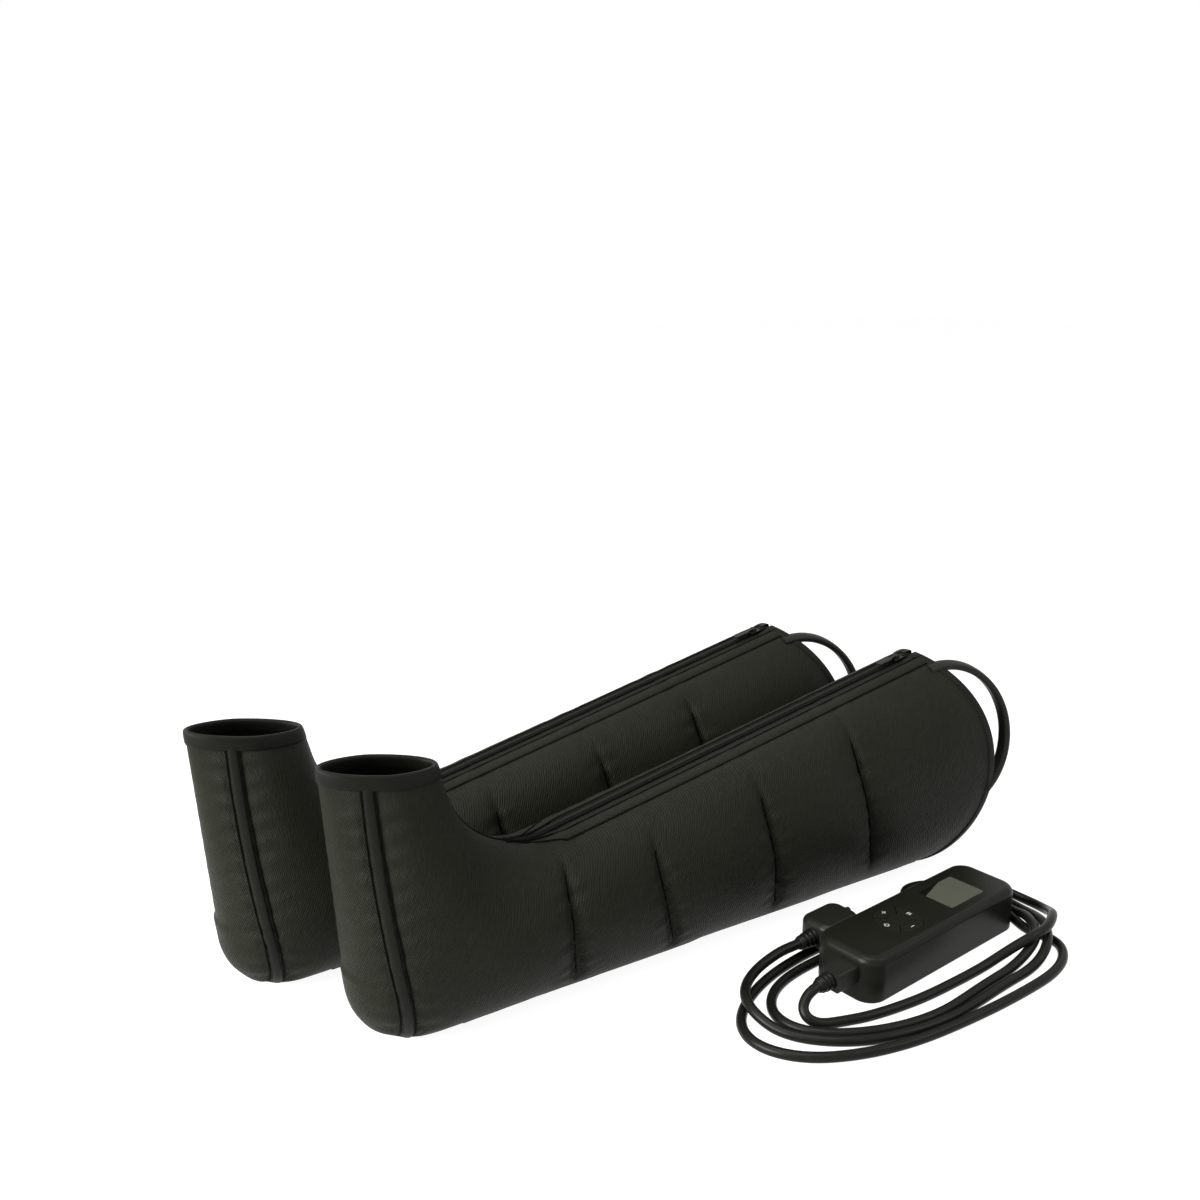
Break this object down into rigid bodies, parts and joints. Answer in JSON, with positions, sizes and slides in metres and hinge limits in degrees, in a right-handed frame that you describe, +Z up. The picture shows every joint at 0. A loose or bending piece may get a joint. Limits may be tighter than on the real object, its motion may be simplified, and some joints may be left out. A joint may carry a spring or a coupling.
{
  "type": "compression therapy pump",
  "caption": "Air-compression leg therapy set: hand-held pump unit with key pad and display, its air hose, and zipped lower-leg sleeves with air cells.",
  "frame": {"origin": "centre of the pump unit's flat base, on the floor", "axes": "+X along the sleeves from toe to knee, +Y from the pump unit towards the sleeves, +Z up"},
  "size_m": [0.6167, 0.3813, 0.1955],
  "materials": {
    "cover_cloth": "satin-coated woven polyester with a fine raised twill",
    "lining_cloth": "smooth black knit",
    "air_cell_film": "coated air-tight film between cover and lining",
    "binding_tape": "ribbed binding tape",
    "zip_nylon": "moulded nylon coil",
    "zip_metal": "black enamelled zinc",
    "webbing": "folded and stitched webbing",
    "port_plastic": "matt black",
    "case_plastic": "fine satin grain",
    "screw_steel": "blackened steel",
    "window_gloss": "smoked glossy acrylic",
    "display_panel": "dark display, switched off",
    "board_laminate": "green laminate",
    "key_plastic": "satin, flush with the case",
    "seal_rubber": "silicone rubber",
    "motor_steel": "plated steel",
    "pump_plastic": "glass-filled nylon",
    "battery_wrap": "shrink-wrapped cells",
    "plug_plastic": "satin black",
    "hose_rubber": "smooth satin black"
  },
  "bodies": {
    "base": {"left_cover_sole": "cover_cloth", "left_cover_base": "cover_cloth", "left_cover_loop_side": "cover_cloth", "left_cover_port_side": "cover_cloth", "left_lining": "lining_cloth", "left_air_cells": "air_cell_film", "left_toe_binding": "binding_tape", "left_knee_binding": "binding_tape", "left_sole_piping": "binding_tape", "left_zip_tapes": "binding_tape", "left_zip_coils": "zip_nylon", "left_pull_loop": "webbing", "left_air_port": "port_plastic", "right_cover_sole": "cover_cloth", "right_cover_base": "cover_cloth", "right_cover_loop_side": "cover_cloth", "right_cover_port_side": "cover_cloth", "right_lining": "lining_cloth", "right_air_cells": "air_cell_film", "right_toe_binding": "binding_tape", "right_knee_binding": "binding_tape", "right_sole_piping": "binding_tape", "right_zip_tapes": "binding_tape", "right_zip_coils": "zip_nylon", "right_pull_loop": "webbing", "right_air_port": "port_plastic", "housing_top": "case_plastic", "housing_base": "case_plastic", "housing_screws": "screw_steel", "display_window": "window_gloss", "display": "display_panel", "circuit_board": "board_laminate", "key_sheet": "seal_rubber", "pump_motor": "motor_steel", "pump_case": "pump_plastic", "pump_head": "pump_plastic", "valve_block": "pump_plastic", "air_valves": "motor_steel", "inner_tubes": "seal_rubber", "hose_socket": "pump_plastic", "battery": "battery_wrap", "charge_socket": "motor_steel", "pump_plug": "plug_plastic", "pump_plug_relief": "hose_rubber", "sleeve_plug": "plug_plastic", "sleeve_plug_relief": "hose_rubber", "sleeve_nozzles": "plug_plastic", "hose_lead": "hose_rubber", "hose_tail": "hose_rubber", "hose_coil": "hose_rubber"},
    "left_slider": {"left_zip_slider": "zip_metal"},
    "left_puller": {"left_zip_pull": "zip_metal"},
    "right_slider": {"right_zip_slider": "zip_metal"},
    "right_puller": {"right_zip_pull": "zip_metal"},
    "mode_key": {"key_mode": "key_plastic"},
    "plus_key": {"key_plus": "key_plastic"},
    "power_key": {"key_power": "key_plastic"},
    "minus_key": {"key_minus": "key_plastic"},
    "centre_key": {"key_centre": "key_plastic"},
    "rotor": {"pump_rotor": "motor_steel"}
  },
  "joints": [
    {"name": "left_zip_slide", "type": "slide", "parent": "base", "child": "left_slider", "axis": [-0.9813, 0, -0.1925], "range_m": [0, 0.29]},
    {"name": "left_pull_swing", "type": "hinge", "parent": "left_slider", "child": "left_puller", "pos_m": [0.07564, 0.111, 0.18112], "axis": [0, 1, 0], "range_deg": [0, 165]},
    {"name": "right_zip_slide", "type": "slide", "parent": "base", "child": "right_slider", "axis": [-0.981, -0.0257, -0.1925], "range_m": [0, 0.29]},
    {"name": "right_pull_swing", "type": "hinge", "parent": "right_slider", "child": "right_puller", "pos_m": [0.0275, 0.2288, 0.18112], "axis": [-0.0262, 0.9997, 0], "range_deg": [0, 165]},
    {"name": "mode_press", "type": "slide", "parent": "base", "child": "mode_key", "axis": [0, 0, -1], "range_m": [0, 0.0005], "stiffness_N_per_m": 600, "springref_m": -0.0002},
    {"name": "plus_press", "type": "slide", "parent": "base", "child": "plus_key", "axis": [0, 0, -1], "range_m": [0, 0.0005], "stiffness_N_per_m": 600, "springref_m": -0.0002},
    {"name": "power_press", "type": "slide", "parent": "base", "child": "power_key", "axis": [0, 0, -1], "range_m": [0, 0.0005], "stiffness_N_per_m": 600, "springref_m": -0.0002},
    {"name": "minus_press", "type": "slide", "parent": "base", "child": "minus_key", "axis": [0, 0, -1], "range_m": [0, 0.0005], "stiffness_N_per_m": 600, "springref_m": -0.0002},
    {"name": "centre_press", "type": "slide", "parent": "base", "child": "centre_key", "axis": [0, 0, -1], "range_m": [0, 0.0005], "stiffness_N_per_m": 600, "springref_m": -0.0002},
    {"name": "pump_spin", "type": "hinge", "parent": "base", "child": "rotor", "pos_m": [-0.01986, -0.0024, 0.0123], "axis": [0.9928, 0.1201, 0], "continuous": true}
  ]
}
